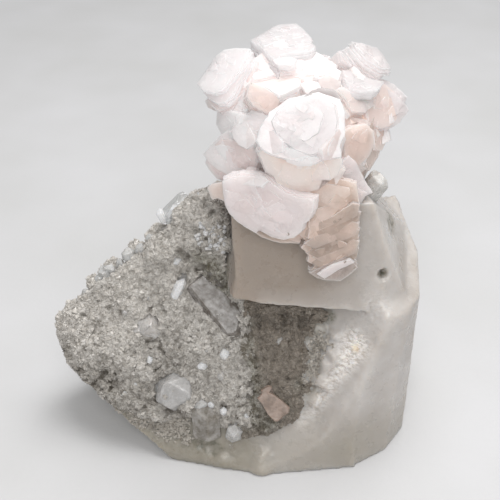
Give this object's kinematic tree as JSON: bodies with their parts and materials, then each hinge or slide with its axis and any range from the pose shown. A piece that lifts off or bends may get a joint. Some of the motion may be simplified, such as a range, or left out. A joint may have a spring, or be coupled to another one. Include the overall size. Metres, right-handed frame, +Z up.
{
  "type": "calcite and quartz mineral specimen",
  "caption": "Mineral specimen: a rosette of pale pink calcite plates grown on milky quartz crystals, with a fine grey quartz crust on one face. Stands on its cut base.",
  "frame": {"origin": "middle of the box round the specimen, on the flat base it stands on", "axes": "+Z up, the way it stands; +X to the right and -Y towards the viewer of the picture"},
  "size_m": [0.0784, 0.0518, 0.0861],
  "materials": {
    "milky_quartz": "milky grey-white quartz, satin crystal faces, cloudy inside",
    "pink_calcite": "pale pink calcite plates, pearly and slightly translucent, white at the thick faces",
    "tan_calcite": "pinkish tan calcite, satin",
    "druse": "fine grey crystal crust, rough and sparkling",
    "pocket_druse": "fine grey-brown crystal crust, rough",
    "grey_quartz": "grey cloudy quartz, satin faces",
    "clear_quartz": "clear quartz, glossy faces"
  },
  "bodies": {
    "root": {"milky_quartz": "milky_quartz", "calcite_rosette": "pink_calcite", "calcite_flake": "tan_calcite", "druse_crust": "druse", "pocket_druse": "pocket_druse", "grey_quartz_sunken": "grey_quartz", "quartz_tablet": "grey_quartz", "quartz_lath": "grey_quartz", "brown_quartz_low": "grey_quartz", "clear_quartz_large": "clear_quartz", "clear_quartz_front": "clear_quartz", "clear_quartz_low": "clear_quartz", "clear_quartz_ridge": "clear_quartz", "clear_quartz_ridge_low": "clear_quartz", "clear_quartz_side": "clear_quartz"}
  },
  "joints": []
}
